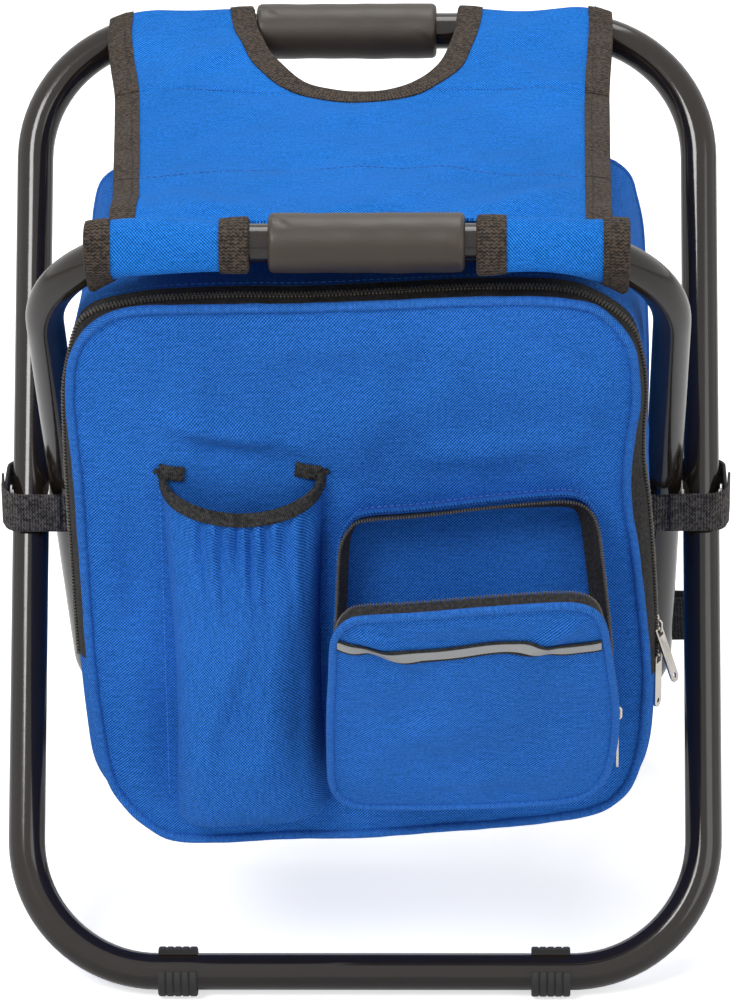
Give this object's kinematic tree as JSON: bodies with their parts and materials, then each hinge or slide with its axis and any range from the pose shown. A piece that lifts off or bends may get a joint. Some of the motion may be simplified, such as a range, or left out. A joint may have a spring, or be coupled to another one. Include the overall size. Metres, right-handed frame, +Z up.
{
  "type": "folding cooler stool",
  "caption": "Folding sling stool on two crossed tube loops, with an insulated zip-front cooler bag, pockets and shoulder straps between its legs.",
  "frame": {"origin": "centre of the bounding box at floor level", "axes": "+Z up, -Y towards the bag's pockets and zip front, +X to the right of someone facing the front"},
  "size_m": [0.3572, 0.3828, 0.4117],
  "materials": {
    "painted_steel": "gloss black paint",
    "zinc_steel": "zinc plated",
    "nylon": "natural nylon",
    "foam_rubber": "soft foam with a satin skin",
    "foot_rubber": "matt moulded rubber",
    "seat_fabric": "polyester twill",
    "bag_fabric": "polyester twill",
    "pocket_lining": "polyester twill",
    "trim_webbing": "woven binding tape",
    "black_webbing": "woven strap",
    "zip_tape": "woven zip tape",
    "zip_coil": "nylon coil teeth",
    "nickel": "polished nickel",
    "white_foam": "closed-cell insulating foam",
    "silver_foil": "laminated foil",
    "grey_reflector": "reflective tape",
    "black_plastic": "moulded nylon"
  },
  "bodies": {
    "outer_frame": {"outer_tube": "painted_steel", "rear_grip": "foam_rubber", "pivot_rivet_left": "zinc_steel", "pivot_rivet_right": "zinc_steel", "pivot_washer_left": "nylon", "pivot_washer_right": "nylon", "front_foot_left": "foot_rubber", "front_foot_right": "foot_rubber", "seat_sling": "seat_fabric", "seat_binding_left": "trim_webbing", "seat_binding_right": "trim_webbing", "rear_cutout_binding": "trim_webbing", "front_cutout_binding": "trim_webbing"},
    "inner_frame": {"inner_tube": "painted_steel", "front_grip": "foam_rubber", "rear_foot_left": "foot_rubber", "rear_foot_right": "foot_rubber"},
    "bag": {"bag_gusset": "bag_fabric", "bag_back_panel": "bag_fabric", "insulation_foam": "white_foam", "foil_liner": "silver_foil", "zip_tape_rear": "zip_tape", "zip_coil_rear": "zip_coil", "side_strap_left": "trim_webbing", "side_strap_right": "trim_webbing", "shoulder_pad_left": "black_webbing", "shoulder_pad_right": "black_webbing", "strap_adjuster_left": "black_plastic", "strap_adjuster_right": "black_plastic", "shoulder_webbing_left": "black_webbing", "shoulder_webbing_right": "black_webbing"},
    "lid": {"front_panel": "bag_fabric", "lid_foam": "white_foam", "lid_foil": "silver_foil", "front_piping": "bag_fabric", "zip_tape_front": "zip_tape", "zip_coil_front": "zip_coil", "bottle_pocket": "bag_fabric", "bottle_pocket_elastic": "trim_webbing", "zip_pocket_gusset": "pocket_lining", "zip_pocket_tape": "zip_tape", "zip_pocket_coil": "zip_coil"},
    "pocket_flap": {"flap_coil": "zip_coil", "flap_tape": "zip_tape", "flap_panel": "bag_fabric", "flap_piping": "bag_fabric", "reflective_stripe": "grey_reflector"},
    "main_slider_lower": {"main_slider_lower": "nickel"},
    "main_pull_lower": {"main_pull_lower": "nickel"},
    "main_slider_upper": {"main_slider_upper": "nickel"},
    "main_pull_upper": {"main_pull_upper": "nickel"},
    "pocket_slider": {"pocket_slider": "nickel"},
    "pocket_pull": {"pocket_pull": "nickel"}
  },
  "joints": [
    {"name": "fold", "type": "hinge", "parent": "outer_frame", "child": "inner_frame", "pos_m": [0, 0.04241, 0.20477], "axis": [-1, 0, 0], "range_deg": [0, 62], "deforming": ["seat_sling", "seat_binding_left", "seat_binding_right", "rear_cutout_binding", "front_cutout_binding"]},
    {"name": "bag_swing", "type": "hinge", "parent": "outer_frame", "child": "bag", "pos_m": [0, 0.04241, 0.20477], "axis": [-1, 0, 0], "range_deg": [0, 31]},
    {"name": "lid_open", "type": "hinge", "parent": "bag", "child": "lid", "pos_m": [0, -0.09659, 0.08809], "axis": [1, 0, 0], "range_deg": [0, 25]},
    {"name": "pocket_flap_open", "type": "hinge", "parent": "lid", "child": "pocket_flap", "pos_m": [0.0545, -0.11829, 0.12709], "axis": [1, 0, 0], "range_deg": [-24.5, 65.5]},
    {"name": "main_zip_lower_slide", "type": "slide", "parent": "bag", "child": "main_slider_lower", "axis": [0, 0, 1], "range_m": [0, 0.002]},
    {"name": "main_zip_upper_slide", "type": "slide", "parent": "bag", "child": "main_slider_upper", "axis": [0, 0, 1], "range_m": [0, 0.1]},
    {"name": "main_pull_lower_swing", "type": "hinge", "parent": "main_slider_lower", "child": "main_pull_lower", "pos_m": [0.13886, -0.08307, 0.18039], "axis": [-0.4695, -0.8829, 0], "range_deg": [0, 60]},
    {"name": "main_pull_upper_swing", "type": "hinge", "parent": "main_slider_upper", "child": "main_pull_upper", "pos_m": [0.13886, -0.08307, 0.19439], "axis": [-0.4695, -0.8829, 0], "range_deg": [0, 60]},
    {"name": "pocket_zip_slide", "type": "slide", "parent": "lid", "child": "pocket_slider", "axis": [0, 0, 1], "range_m": [0, 0.08]},
    {"name": "pocket_pull_swing", "type": "hinge", "parent": "pocket_slider", "child": "pocket_pull", "pos_m": [0.1217, -0.11649, 0.16564], "axis": [0, -1, 0], "range_deg": [0, 75]}
  ],
  "couplings": [
    {"joint": "bag_swing", "follows": "fold", "ratio": 0.5},
    {"joint": "main_pull_lower_swing", "follows": "main_pull_upper_swing", "ratio": 1}
  ]
}
